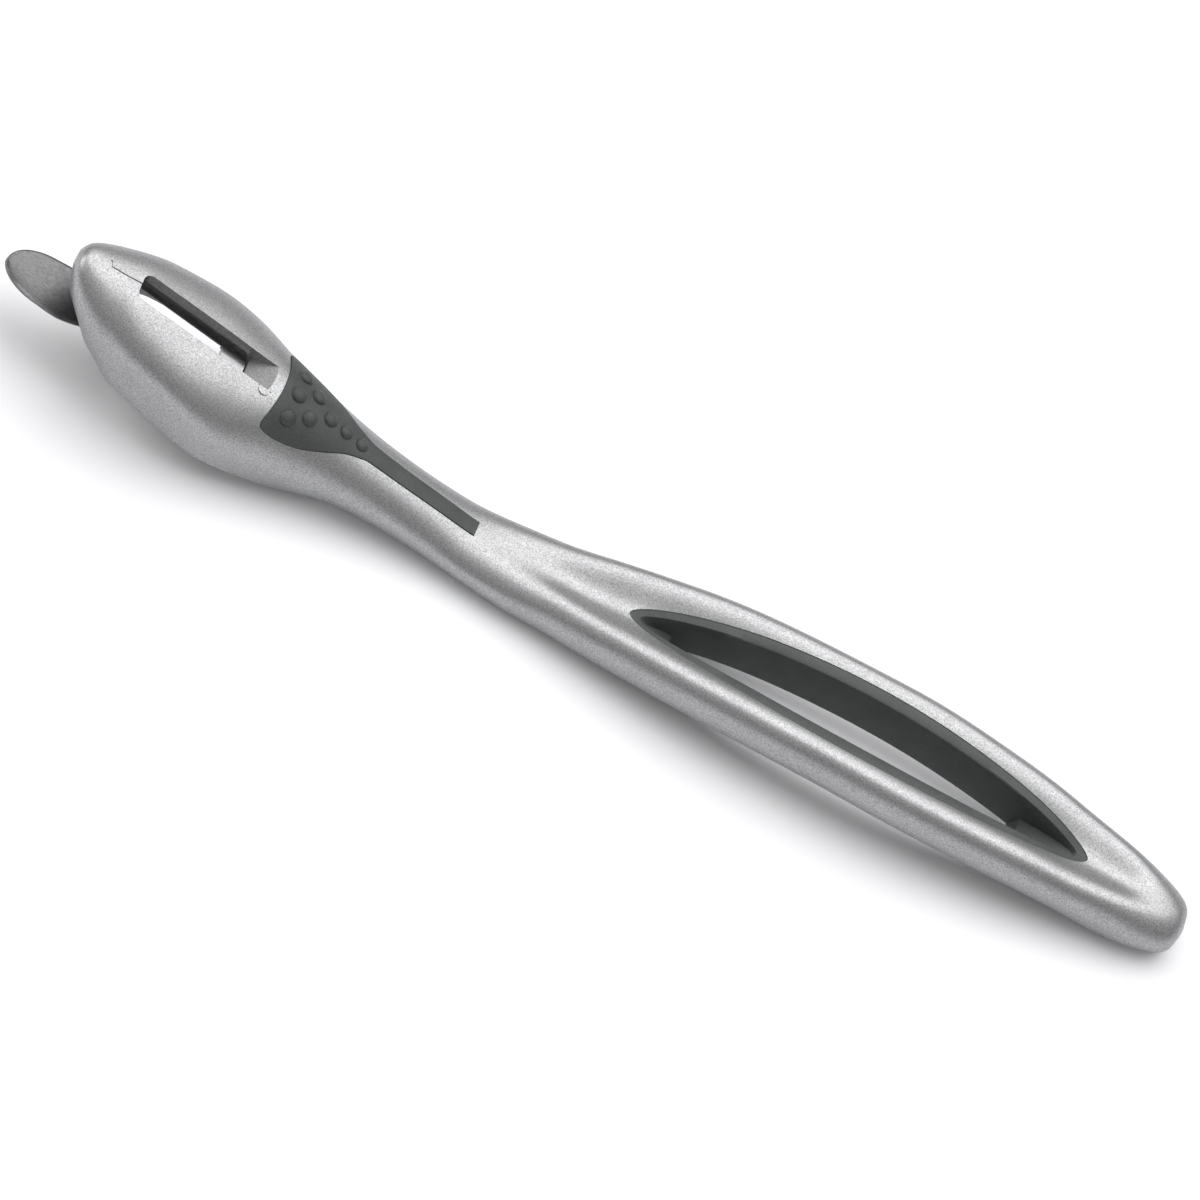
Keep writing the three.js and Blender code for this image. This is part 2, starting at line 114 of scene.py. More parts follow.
SCOOP_BOSS_DEPTH = 2.2
SEAT_GAP = 0.3
RIVET_RADIUS = 0.8
RIVET_HEAD_RADIUS = 1.5
RIVET_PITCH = 3.0
RIVET_MARGIN = 1.7          # rear rivet to the end of the shank
PAD_SET_BACK = 1.7          # slot's rear end to the pad
PAD_DEPTH = 1.2
PAD_PROUD = 0.22
PAD_HALF_WIDTH = 7.5
PAD_LENGTH = 16.5
STRIPE_LENGTH = 21.6
STRIPE_HALF_WIDTH = 1.45
BUMP_RADIUS = 1.38
BUMP_HEIGHT = 0.8
BUMP_PITCH = 3.2
BUMP_START = 2.6            # pad's front edge to the first row of bumps
REST_HEIGHT = 0.5
STATION_STEP = 0.6
ROUND_END = 6.0             # stretch at the nose and tail where the stations lie closer together
RING_STEPS = 120
FAR = 60.0                  # past every surface of the tool


def hood(part, axis, width, above, below, square, skirt):
    x = NOSE + part * HOOD_LENGTH
    return (x, axis + REST_HEIGHT, width * HOOD_HALF_WIDTH, above, below, square, skirt, 0)


def neck(part, axis, width, above, below, square, fork):
    x = NECK + part * NECK_LENGTH
    return (x, axis + REST_HEIGHT, width * NECK_HALF_WIDTH, above, below, square, square, fork)


def loop(part, axis, width, square):
    x = LOOP + part * LOOP_LENGTH
    depth = LOOP_HALF_DEPTH
    return (x, axis + REST_HEIGHT, width * LOOP_HALF_WIDTH, depth, depth, square, square, 1)


def tail(part, axis, width, depth, square, fork):
    x = TAIL + part * TAIL_LENGTH
    return (x, axis + REST_HEIGHT, width * LOOP_HALF_WIDTH, depth, depth, square, square, fork)


# Place, height of the widest point, half width, depth above and below it, squareness above and below,
# and how far the section has forked into the two branches of the loop.
SECTIONS = [
    hood(0, 20.9, 0.12, 1.1, 1.2, 2, 2),
    hood(0.012, 20.2, 0.26, 2.7, 3.0, 2, 2),
    hood(0.032, 19.1, 0.395, 4.12, 4.5, 2, 2),
    hood(0.075, 17.5, 0.57, 5.57, 5.9, 2, 2.1),
    hood(0.119, 16.4, 0.695, 6.5, 8.0, 2.05, 2.4),
    hood(0.169, 16.1, 0.78, 6.8, 10.0, 2.1, 2.9),
    hood(0.218, 15.8, 0.855, 6.5, 12.5, 2.1, 3.8),
    hood(0.351, 14.35, 0.955, 6.1, 14.0, 2.1, 4),
    hood(0.424, 12.3, 0.995, 7.1, 13.5, 2.1, 4),
    hood(0.502, 9.9, 0.98, 8.3, 12.0, 2.05, 3.8),
    hood(0.606, 7.3, 0.83, 9.65, 10.0, 2, 3),
    hood(0.725, 6.5, 0.665, 8.3, 7.6, 2, 2.4),
    hood(0.825, 6.33, 0.56, 6.44, 6.6, 2, 2),
    hood(0.935, 5.6, 0.508, 5.35, 5.8, 2, 2),
    neck(0.097, 4.5, 1, 4.8, 4.9, 2, 0),
    neck(0.28, 3.7, 1.07, 4.2, 4.3, 2.1, 0.02),
    neck(0.52, 3.65, 1.2, 4.2, 4.3, 2.2, 0.3),
    neck(0.69, 4.2, 1.25, 4.2, 4.2, 2.4, 0.65),
    neck(0.89, 5.25, 1.41, 4.1, 4.1, 2.7, 0.95),
    loop(0.03, 6.2, 0.815, 2.8),
    loop(0.158, 7.6, 0.91, 3),
    loop(0.282, 8.5, 0.955, 3),
    loop(0.476, 9.08, 0.98, 3),
    loop(0.628, 9.0, 0.985, 3),
    loop(0.805, 8.15, 0.9, 3),
    loop(0.897, 7.45, 0.83, 2.8),
    loop(0.988, 6.35, 0.745, 2.6),
    tail(0.356, 5.0, 0.65, 5.0, 2.3, 0.7),
    tail(0.65, 4.2, 0.575, 5.1, 2.1, 0.15),
    tail(0.865, 3.8, 0.46, 4.3, 2, 0),
    tail(0.965, 3.65, 0.32, 2.9, 2, 0),
    tail(1, 3.6, 0.1, 0.8, 2, 0),
]


# ---- The casting's smooth form -------------------------------------------------------------------
def section_at(x):
    """Every value of the sections, on a smooth curve between them."""
    last = len(SECTIONS) - 1
    i = 0
    while i < last - 1 and x > SECTIONS[i + 1][0]:
        i += 1
    before, low, high, after = (SECTIONS[min(max(k, 0), last)] for k in (i - 1, i, i + 1, i + 2))
    span = high[0] - low[0]
    t = (x - low[0]) / span
    values = []
    for b, l, h, a in zip(before, low, high, after):
        slope_in = span * (h - b) / (high[0] - before[0])
        slope_out = span * (a - l) / (after[0] - low[0])
        values.append((2 * t**3 - 3 * t**2 + 1) * l + (t**3 - 2 * t**2 + t) * slope_in
                      + (3 * t**2 - 2 * t**3) * h + (t**3 - t**2) * slope_out)
    return values


def valley_floor(x):
    """Depth share of the web between the branches: highest at the ends of the opening."""
    middle = (LOOP + TAIL) / 2
    away = min(abs(x - middle) / (LOOP_LENGTH / 2), 1)
    return VALLEY_DEPTH + (VALLEY_RISE_FRONT if x < middle else VALLEY_RISE_REAR) * away**3


def depth_at(x, width, depth, square, fork, y):
    """Height of the skin over the section's widest line, at y from the middle."""
    share = min(abs(y) / width, 1)
    plain = depth * (1 - share**square) ** (1 / square)
    fork = min(max(fork, 0), 1)
    if fork == 0:
        return plain
    crest = width - ROLL_WIDTH
    if abs(y) > crest:
        over = min((abs(y) - crest) / ROLL_WIDTH, 1)
        rolled = depth * (1 - over**ROLL_SQUARENESS) ** (1 / ROLL_SQUARENESS)
    else:
        floor = valley_floor(x)
        rolled = depth * (floor + (1 - floor) * math.sin(math.pi * abs(y) / (2 * crest)) ** 2)
    return plain + fork * (rolled - plain)


def crest_at(x, y=0.0):
    """Height of the casting's upper skin at a place seen from above."""
    _, axis, width, above, _, square, _, fork = section_at(x)
    return axis + depth_at(x, width, above, square, fork, y)


def ring_at(x, inset=0.0, skirt_inset=None):
    """Ring of the skin at one station, drawn in by an inset, and by another one along its lower half."""
    _, axis, width, above, below, square, skirt, fork = section_at(x)
    skirt_inset = inset if skirt_inset is None else skirt_inset
    width -= inset
    ring = []
    for j in range(RING_STEPS):
        angle = 2 * math.pi * j / RING_STEPS
        up = math.sin(angle) >= 0
        power = 2 / (square if up else skirt)
        side = math.cos(angle)
        y = width * math.copysign(abs(side) ** power, side) if abs(side) > 1e-9 else 0.0
        depth = above - inset if up else below - skirt_inset
        z = depth_at(x, width, depth, square if up else skirt, fork, y)
        ring.append((x, y, axis + (z if up else -z)))
    return ring


def places(start, stop, step):
    """Stations from start to stop, evenly spaced at about the step."""
    count = max(int((stop - start) / step), 2)
    return [start + (stop - start) * i / count for i in range(count + 1)]


def body_places():
    """Stations along the casting, closer together at the round nose and tail."""
    nose = [NOSE + ROUND_END * (i / 26) ** 2 for i in range(26)]
    tail_end = [END - ROUND_END * (i / 22) ** 2 for i in range(22)][::-1]
    return nose + places(NOSE + ROUND_END, END - ROUND_END, STATION_STEP) + tail_end[1:]


# ---- Mesh helpers --------------------------------------------------------------------------------
def to_object(name, points, faces):
    """A mesh object whose points are given in millimetres."""
    mesh = bpy.data.meshes.new(name)
    mesh.from_pydata([Vector(p) * MM for p in points], [], faces)
    mesh.update()
    piece = bpy.data.objects.new(name, mesh)
    bpy.context.scene.collection.objects.link(piece)
    return piece


def skin(name, rings):
    """Closed skin through rings of equal count, with a fan at each end."""
    count = len(rings[0])
    points = [p for ring in rings for p in ring]
    for ring in (rings[0], rings[-1]):
        points.append(tuple(sum(p[k] for p in ring) / count for k in range(3)))
    faces = []
    for i in range(len(rings) - 1):
        for j in range(count):
            a, b = i * count + j, i * count + (j + 1) % count
            faces.append((a, b, b + count, a + count))
    start, stop = len(rings) * count, len(rings) * count + 1
    last = (len(rings) - 1) * count
    for j in range(count):
        k = (j + 1) % count
        faces.append((start, k, j))
        faces.append((stop, last + j, last + k))
    return to_object(name, points, faces)


def band(name, rings):
    """Closed band whose section rings join up end to end."""
    count = len(rings[0])
    points = [p for ring in rings for p in ring]
    faces = []
    for i in range(len(rings)):
        following = (i + 1) % len(rings)
        for j in range(count):
            k = (j + 1) % count
            faces.append((i * count + j, following * count + j, following * count + k, i * count + k))
    return to_object(name, points, faces)


def prism(name, outline, low, high):
    """Outline in the XY plane raised between two heights."""
    count = len(outline)
    points = [(x, y, low) for x, y in outline] + [(x, y, high) for x, y in outline]
    faces = [tuple(range(count))[::-1], tuple(range(count, 2 * count))]
    faces += [(i, (i + 1) % count, (i + 1) % count + count, i + count) for i in range(count)]
    piece = to_object(name, points, faces)
    point_out(piece)
    return piece


def slab(name, x0, x1, y0, y1, z0, z1):
    return prism(name, [(x0, y0), (x1, y0), (x1, y1), (x0, y1)], z0, z1)


def full_turn(steps):
    return [2 * math.pi * j / steps for j in range(steps)]


def rod(name, radius, start, stop, steps=48):
    """Round bar along X."""
    ring = [(radius * math.cos(a), radius * math.sin(a)) for a in full_turn(steps)]
    return skin(name, [[(x, y, z) for y, z in ring] for x in (start, stop)])


def turned(name, profile):
    """Profile of (radius, height) turned about Z, closed flat at both ends."""
    turn = full_turn(48)
    piece = skin(name, [[(r * math.cos(a), r * math.sin(a), height) for a in turn] for r, height in profile])
    point_out(piece)
    return piece


def point_out(piece):
    """Merges doubles and turns every face outwards."""
    mesh = bmesh.new()
    mesh.from_mesh(piece.data)
    bmesh.ops.remove_doubles(mesh, verts=mesh.verts, dist=1e-7)
    bmesh.ops.recalc_face_normals(mesh, faces=mesh.faces)
    mesh.to_mesh(piece.data)
    mesh.free()


def settle(piece):
    """Applies the piece's modifiers to its mesh."""
    graph = bpy.context.evaluated_depsgraph_get()
    made = bpy.data.meshes.new_from_object(piece.evaluated_get(graph))
    piece.modifiers.clear()
    piece.data = made
    return piece


def boolean(piece, others, operation):
    """Cuts, joins or intersects the piece with each of the others, which are used up."""
    for other in others:
        cut = piece.modifiers.new("cut", "BOOLEAN")
        cut.object = other
        cut.operation = operation
        cut.solver = "MANIFOLD"
        settle(piece)
        bpy.data.objects.remove(other)
    return piece


def finish_mesh(piece, material, angle):
    """One material, and smooth shading broken at edges sharper than the angle."""
    mesh = piece.data
    mesh.materials.clear()
    mesh.materials.append(material)
    for face in mesh.polygons:
        face.material_index = 0
        face.use_smooth = True
    mesh.set_sharp_from_angle(angle=math.radians(angle))


# ---- Head frame: +X back along the crest, +Z out of it, origin on the crest over the slot's middle
pivot = frame["joints"][0]
HEAD_AXIS = Vector(pivot["axis"]).normalized()
HEAD_PITCH = math.atan2(-HEAD_AXIS.z, HEAD_AXIS.x)
HEAD_X = NOSE + SLOT_PLACE * HOOD_LENGTH
HEAD = Matrix.Translation(Vector((HEAD_X, 0, crest_at(HEAD_X))) * MM) @ Matrix.Rotation(HEAD_PITCH, 4, "Y")
SLOT_FRONT = -SLOT_LENGTH / 2
SLOT_REAR = SLOT_LENGTH / 2
RAMP_FOOT = SLOT_REAR - SLOT_RAMP_LENGTH
BLADE_FRONT = SLOT_FRONT - BLADE_LEAD
BLADE_REAR = RAMP_FOOT - BLADE_END_GAP
CAVITY_FRONT = BLADE_FRONT - BLADE_END_GAP
CAVITY_REAR = SLOT_REAR + 2
RIM = -HOOD_DEPTH
SCOOP_BOSS_REAR = SLOT_FRONT + SCOOP_BOSS_REACH
SHANK_TOP = RIM - SEAT_GAP


def in_head(piece):
    """Moves a piece made in the head frame to its place on the tool."""
    piece.data.transform(HEAD)
    return piece


# ---- Casting -------------------------------------------------------------------------------------
def leaf_outline(inset, steps):
    """Outline of the loop's opening: a leaf with blunt ends, drawn in by an inset."""
    points = []
    half = LOOP_LENGTH / 2 - inset
    wide = LOOP_GAP_HALF - inset
    for i in range(steps):
        angle = 2 * math.pi * i / steps
        x = LOOP + LOOP_LENGTH / 2 - half * math.cos(angle)
        along = 0.5 - 0.5 * math.cos(angle)
        reach = wide * max(math.sin(math.pi * along), 0) ** LEAF_SHARPNESS
        points.append((x, -math.copysign(reach, math.sin(angle)) if reach > 1e-6 else 0.0))
    return points


PAD_FRONT = HEAD_X + SLOT_REAR * math.cos(HEAD_PITCH) + PAD_SET_BACK
PAD_WAIST = PAD_FRONT + PAD_LENGTH
PAD_REAR = PAD_WAIST + STRIPE_LENGTH


def smooth_through(points, steps):
    """Points on a smooth curve through the given ones."""
    out = []
    for i in range(len(points) - 1):
        p0, p1, p2, p3 = (Vector(points[min(max(k, 0), len(points) - 1)]) for k in (i - 1, i, i + 1, i + 2))
        for s in range(steps):
            t = s / steps
            out.append(0.5 * ((2 * p1) + (p2 - p0) * t + (2 * p0 - 5 * p1 + 4 * p2 - p3) * t**2
                              + (3 * p1 - p0 - 3 * p2 + p3) * t**3))
    out.append(Vector(points[-1]))
    return out


def pad_outline(spread=0.0):
    """Outline of the thumb pad with its stripe, seen from above."""
    front = [(PAD_FRONT, 0), (PAD_FRONT - 0.12, 2.4), (PAD_FRONT - 0.5, 5.2), (PAD_FRONT - 0.85, 6.9)]
    side = [
        (PAD_FRONT - 0.65, 7.35), (PAD_FRONT + 0.1, PAD_HALF_WIDTH), (PAD_FRONT + 2.6, PAD_HALF_WIDTH - 0.25),
        (PAD_FRONT + 6.4, PAD_HALF_WIDTH - 1.2), (PAD_FRONT + 10.4, PAD_HALF_WIDTH - 2.9),
        (PAD_FRONT + 13.6, PAD_HALF_WIDTH - 4.6), (PAD_WAIST - 0.4, STRIPE_HALF_WIDTH + 0.55),
        (PAD_WAIST + 1.6, STRIPE_HALF_WIDTH + 0.15), (PAD_WAIST + 8, STRIPE_HALF_WIDTH),
        (PAD_REAR, STRIPE_HALF_WIDTH - 0.12),
    ]
    half = smooth_through(front, 4) + smooth_through(side, 5)
    moved = []
    for i, p in enumerate(half):
        before, after = half[max(i - 1, 0)], half[min(i + 1, len(half) - 1)]
        along = (after - before).normalized()
        out = Vector((-along.y, along.x))
        if i == 0:
            out = Vector((-1, 0))
        q = p + spread * out
        if i == len(half) - 1:
            q = p + Vector((spread, spread))
        moved.append((q.x, max(q.y, 0)))
    lower = [(x, -y) for x, y in moved[1:]][::-1]
    return lower + moved


def slot_cutter():
    """Slot with a rounded front end and a ramp up to the crest at its rear."""
    start = SLOT_FRONT + SLOT_CORNER
    side = SLOT_HALF_WIDTH - SLOT_CORNER
    outline = [
        (start, -SLOT_DEPTH), (RAMP_FOOT, -SLOT_DEPTH), (RAMP_FOOT, -SLOT_RAMP_DEPTH),
        (SLOT_REAR + 0.1, 0.2), (SLOT_REAR + 0.4, FAR), (start, FAR),
    ]
    cutter = prism("slot", outline, -SLOT_HALF_WIDTH, SLOT_HALF_WIDTH)
    cutter.data.transform(Matrix.Rotation(math.pi / 2, 4, "X"))
    front = [slab("slot_front", SLOT_FRONT, start + 1, -side, side, -SLOT_DEPTH, FAR)]
    for y in (-side, side):
        end = rod("slot_end", SLOT_CORNER, -SLOT_DEPTH, FAR, 96)
        place = Matrix.Translation(Vector((start, y, 0)) * MM)
        end.data.transform(place @ Matrix.Rotation(-math.pi / 2, 4, "Y"))
        front.append(end)
    boolean(cutter, front, "UNION")
    return in_head(cutter)


def cavity_cutter():
    """Hollow of the hood, less the boss behind the slot and the one that carries the scoop."""
    rings = [ring_at(x, HOOD_WALL, -MOUTH_EXTRA) for x in places(NOSE + 3, NECK - 8, 0.7)]
    inner = skin("cavity", rings)
    room = in_head(slab("room", CAVITY_FRONT, CAVITY_REAR, -FAR, FAR, -FAR, FAR))
    boolean(inner, [room], "INTERSECT")
    rear_boss = in_head(slab(
        "rear_boss", RAMP_FOOT, CAVITY_REAR + 1, -REAR_BOSS_HALF_WIDTH, REAR_BOSS_HALF_WIDTH, RIM - 1, FAR))
    scoop_boss = in_head(slab(
        "scoop_boss", CAVITY_FRONT - 1, SCOOP_BOSS_REAR, -SCOOP_BOSS_HALF_WIDTH, SCOOP_BOSS_HALF_WIDTH,
        RIM - 1, RIM + SCOOP_BOSS_DEPTH))
    return boolean(inner, [rear_boss, scoop_boss], "DIFFERENCE")


def groove(path, half_width, depth):
    """Fine engraved line that follows the skin along a path seen from above."""
    points, faces = [], []
    for i, (x, y) in enumerate(path):
        before, after = Vector(path[max(i - 1, 0)]), Vector(path[min(i + 1, len(path) - 1)])
        along = (after - before).normalized()
        side = Vector((-along.y, along.x)) * half_width
        floor = crest_at(x, y) - depth
        points += [(x - side.x, y - side.y, floor), (x + side.x, y + side.y, floor),
                   (x + side.x, y + side.y, floor + 3), (x - side.x, y - side.y, floor + 3)]
    for i in range(len(path) - 1):
        for j in range(4):
            k = (j + 1) % 4
            faces.append((4 * i + j, 4 * i + k, 4 * i + 4 + k, 4 * i + 4 + j))
    faces.append((0, 3, 2, 1))
    last = 4 * (len(path) - 1)
    faces.append((last, last + 1, last + 2, last + 3))
    piece = to_object("groove", points, faces)
    point_out(piece)
    return piece


def parting_marks():
    """Seam from the slot to a small cross line on the nose, and a half-round mark behind the ramp."""
    front = HEAD_X + SLOT_FRONT * math.cos(HEAD_PITCH)
    seam = [(front + 0.3 - 0.45 * i, 0.0) for i in range(14)]
    end = seam[-1][0]
    across = [(end - 0.35 * abs(k) / 4, 0.28 * k) for k in range(-4, 5)]
    centre = HEAD_X + (SLOT_REAR - 1.2) * math.cos(HEAD_PITCH)
    turn = [math.radians(15 * k) for k in range(-1, 14)]
    arc = [(centre + 1.1 * math.cos(a), -SLOT_HALF_WIDTH - 0.25 - 0.95 * math.sin(a)) for a in turn]
    return [groove(seam, 0.12, 0.2), groove(across, 0.16, 0.2), groove(arc, 0.12, 0.16)]


def pin_holes():
    """Blind holes for the two pivot pins and the stop pin, a little deeper than the pins."""
    pivot, stop = PIVOT_PIN_RADIUS + PIN_CLEARANCE, STOP_PIN_RADIUS + PIN_CLEARANCE
    room = 0.2
    holes = []
    for radius, front, rear, drop in (
        (pivot, BLADE_FRONT - PIVOT_PIN_DEPTH - room, CAVITY_FRONT + 1, 0),
        (pivot, RAMP_FOOT - 1, RAMP_FOOT + PIVOT_PIN_DEPTH + room, 0),
        (stop, RAMP_FOOT - 1, RAMP_FOOT + STOP_PIN_DEPTH + room, STOP_PIN_DROP),
    ):
        hole = rod("hole", radius, front, rear)
        hole.data.transform(Matrix.Translation((0, 0, -(BLADE_AXIS_DEPTH + drop) * MM)))
        holes.append(in_head(hole))
    return holes


def body_casting():
    """Smooth skin, cut by the rest plane, the rim, the hollow, the slot, the loop and the pad's recess."""
    piece = skin("casting", [ring_at(x) for x in body_places()])
    rim_end = (HEAD.translation.z / MM + RIM * math.cos(HEAD_PITCH)) / math.sin(HEAD_PITCH)
    below_rim = in_head(slab("below_rim", -FAR, rim_end, -FAR, FAR, -FAR, RIM))
    below_rest = slab("below_rest", -2 * FAR, 2 * FAR, -FAR, FAR, -FAR, 0)
    opening = prism("opening", leaf_outline(0, 240), -FAR, FAR)
    recess = prism("recess", pad_outline(0.06), 5, FAR)
    stations = places(PAD_FRONT - 5, PAD_REAR + 5, STATION_STEP)
    under_pad = skin("under_pad", [ring_at(x, PAD_DEPTH) for x in stations])
    boolean(recess, [under_pad], "DIFFERENCE")
    cutters = [below_rest, below_rim, cavity_cutter(), slot_cutter(), opening, recess] + pin_holes()
    cutters += parting_marks()
    return boolean(piece, cutters, "DIFFERENCE")


# ---- Rubber pieces -------------------------------------------------------------------------------
def thumb_pad():
    """Pad and stripe: the casting's skin raised a little, over the floor of the recess."""
    piece = skin("pad", [ring_at(x, -PAD_PROUD) for x in places(PAD_FRONT - 4, PAD_REAR + 4, 0.4)])
    stations = places(PAD_FRONT - 5, PAD_REAR + 5, STATION_STEP)
    under = skin("under", [ring_at(x, PAD_DEPTH - 0.05) for x in stations])
    blank = prism("blank", pad_outline(0), 5.2, FAR)
    boolean(piece, [under], "DIFFERENCE")
    return boolean(piece, [blank], "INTERSECT")


def end_ramp(apex, along, reach, fall, foot):
    """Shallow ramp across one end of the opening, between the two walls of the liner."""
    lip = crest_at(apex) - 0.25
    stop = apex + along * reach
    low = section_at(stop + along * foot)[1] - LOOP_HALF_DEPTH - LINER_DROP + 0.3
    profile = [(apex, lip), (stop, lip - fall), (stop + along * foot, low), (apex, low)]
    wedge = prism("ramp", profile, -3, 3)
    wedge.data.transform(Matrix.Rotation(math.pi / 2, 4, "X"))
    return boolean(wedge, [prism("leaf", leaf_outline(0.6, 200), -FAR, FAR)], "INTERSECT")


def grip_liner():
    """Rubber band round the finger opening: lip, wall, chamfered foot, and ramps at its two ends."""
    steps = 200
    outer = leaf_outline(0.03, steps)
    inner = leaf_outline(LINER_THICKNESS, steps)
    middle = LOOP + LOOP_LENGTH / 2
    rings = []
    for (x, y), (inner_x, inner_y) in zip(outer, inner):
        lean = (inner_x - middle) / (LOOP_LENGTH / 2)
        slope = LINER_RAMP_FRONT if lean < 0 else LINER_RAMP_REAR
        foot_x = inner_x - slope * lean * abs(lean) ** 7
        lip = crest_at(x, y) - 0.12
        low = section_at(x)[1] - LOOP_HALF_DEPTH - LINER_DROP
        foot_low = section_at(foot_x)[1] - LOOP_HALF_DEPTH - LINER_DROP
        lip_edge = Vector((inner_x, inner_y, lip - 0.1))
        foot = Vector((foot_x, inner_y, foot_low + 0.35))
        outward = Vector((x - inner_x, y - inner_y, 0)).normalized()
        rings.append([
            (x, y, lip), tuple(lip_edge.lerp(Vector((x, y, lip)), 0.12) + Vector((0, 0, 0.06))),
            tuple(lip_edge - Vector((0, 0, 0.12))), tuple(lip_edge.lerp(foot, 0.33)),
            tuple(lip_edge.lerp(foot, 0.67)), tuple(foot),
            tuple(foot + outward * 0.4 - Vector((0, 0, 0.35))), (x, y, low),
        ])
    piece = band("liner", rings)
    point_out(piece)
    return boolean(piece, [end_ramp(LOOP, 1, 8.0, 2.6, 1.5), end_ramp(TAIL, -1, 12.0, 2.9, 1.2)], "UNION")


# ---- Finishes ------------------------------------------------------------------------------------
class Value:
    """A socket that takes part in sums."""

    def __init__(self, nodes, socket):
        self.nodes = nodes
        self.socket = socket

    def _math(self, operation, first, second):
        return self.nodes.node("ShaderNodeMath", {"operation": operation}, {0: first, 1: second})

    def __add__(self, other):
        return self._math("ADD", self, other)

    __radd__ = __add__

    def __mul__(self, other):
        return self._math("MULTIPLY", self, other)

    __rmul__ = __mul__

    def __truediv__(self, other):
        return self._math("DIVIDE", self, other)

    def __rtruediv__(self, other):
        return self._math("DIVIDE", other, self)


class Nodes:
    """A node tree under construction."""

    def __init__(self, tree):
        self.tree = tree

    def connect(self, value, socket):
        if isinstance(value, Value):
            self.tree.links.new(value.socket, socket)
        else:
            socket.default_value = value

    def node(self, kind, settings, inputs, output=0):
        """A node with its settings and inputs; the value is the output named or numbered."""
        made = self.tree.nodes.new(kind)
        for key, value in settings.items():
            if key == "stops":
                ramp = made.color_ramp.elements
                while len(ramp) < len(value):
                    ramp.new(0.5)
                for element, (position, colour) in zip(ramp, value):
                    element.position = position
                    element.color = colour
            else:
                setattr(made, key, value)
        for key, value in inputs.items():
            self.connect(value, made.inputs[key])
        return Value(self, made.outputs[output])


class Finish(Nodes):
    """A material under construction."""

    def __init__(self, name):
        self.material = bpy.data.materials.new(name)
        self.material.use_nodes = True
        super().__init__(self.material.node_tree)
        self.place = self.node("ShaderNodeTexCoord", {}, {}, "Object")

    def noise(self, scale, detail=2.0, roughness=0.5, stretch=(1, 1, 1)):
        mapped = self.node("ShaderNodeMapping", {}, {"Vector": self.place, "Scale": stretch})
        inputs = {"Vector": mapped, "Scale": scale, "Detail": detail, "Roughness": roughness}
        return self.node("ShaderNodeTexNoise", {}, inputs, "Fac")

    def span(self, factor, low, high, to_low=0.0, to_high=1.0):
        inputs = {"Value": factor, "From Min": low, "From Max": high, "To Min": to_low, "To Max": to_high}
        return self.node("ShaderNodeMapRange", {}, inputs, "Result")

    def mix(self, factor, first, second):
        return self.node("ShaderNodeMix", {"data_type": "RGBA"}, {0: factor, 6: first, 7: second}, 2)

    def bump(self, height, distance, strength):
        inputs = {"Height": height, "Distance": distance, "Strength": strength}
        return self.node("ShaderNodeBump", {}, inputs, "Normal")

    def set(self, **values):
        """Feeds the shader's sockets, and gives the finished material."""
        shader = self.tree.nodes["Principled BSDF"]
        for key, value in values.items():
            self.connect(value, shader.inputs[key.replace("_", " ")])
        return self.material


def grey(value):
    return (value, value, value * 1.01, 1)


def green(value):
    return (value * 0.92, value, value * 0.97, 1)


def satin_cast_metal():
    """Bead-blasted casting: bright sparkling grain with faint clouding."""
    f = Finish("satin_cast_metal")
    grain = f.noise(4200, 2.0, 0.6)
    fine = f.noise(9000, 1.0)
    cloud = f.noise(160, 3.0)
    colour = f.mix(f.span(grain, 0.3, 0.7), grey(0.26), grey(0.51))
    colour = f.mix(f.span(cloud, 0.35, 0.65, 0.0, 0.12), colour, grey(0.28))
    rough = f.span(grain, 0.3, 0.7, 0.5, 0.4)
    bump = f.bump(grain * 0.7 + fine * 0.3, 0.000012, 0.6)
    return f.set(Base_Color=colour, Metallic=1.0, Roughness=rough, Normal=bump)


def moulded_rubber(name, low, high):
    """Dark matt rubber with a fine moulded grain."""
    f = Finish(name)
    grain = f.noise(3600, 3.0, 0.6)
    cloud = f.noise(220, 2.0)
    colour = f.mix(f.span(grain, 0.3, 0.7), green(low), green(high))
    colour = f.mix(f.span(cloud, 0.4, 0.7, 0, 0.4), colour, green(low * 0.8))
    rough = f.span(grain, 0.3, 0.7, 0.5, 0.62)
    return f.set(Base_Color=colour, Roughness=rough, Normal=f.bump(grain, 0.00002, 0.5))


def dark_steel(name, low, high, roughness, brush):
    """Brushed steel, drawn along the tool."""
    f = Finish(name)
    lines = f.noise(5200, 2.0, 0.6, (brush, 1, 1))
    cloud = f.noise(300, 2.0)
    colour = f.mix(f.span(lines, 0.3, 0.7), grey(low), grey(high))
    colour = f.mix(f.span(cloud, 0.35, 0.7, 0, 0.25), colour, grey(low * 0.8))
    rough = f.span(lines, 0.3, 0.7, roughness + 0.06, roughness - 0.04)
    return f.set(Base_Color=colour, Metallic=1.0, Roughness=rough, Normal=f.bump(lines, 0.000004, 0.5))


CAST = satin_cast_metal()
RUBBER = moulded_rubber("pad_rubber", 0.034, 0.072)
LINER_RUBBER = moulded_rubber("liner_rubber", 0.045, 0.085)
BLADE_STEEL = dark_steel("blade_steel", 0.26, 0.36, 0.3, 0.06)
SCOOP_STEEL = dark_steel("scoop_steel", 0.12, 0.19, 0.38, 0.25)
PIN_STEEL = dark_steel("pin_steel", 0.42, 0.52, 0.3, 0.1)


def add_piece(name, piece, material, body, nodes, angle=30):
    """A finished piece on its body, in place of the plain nodes it stands for."""
    piece.name = name
    finish_mesh(piece, material, angle)
    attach(piece, body)
    if nodes:
        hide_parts(*nodes)


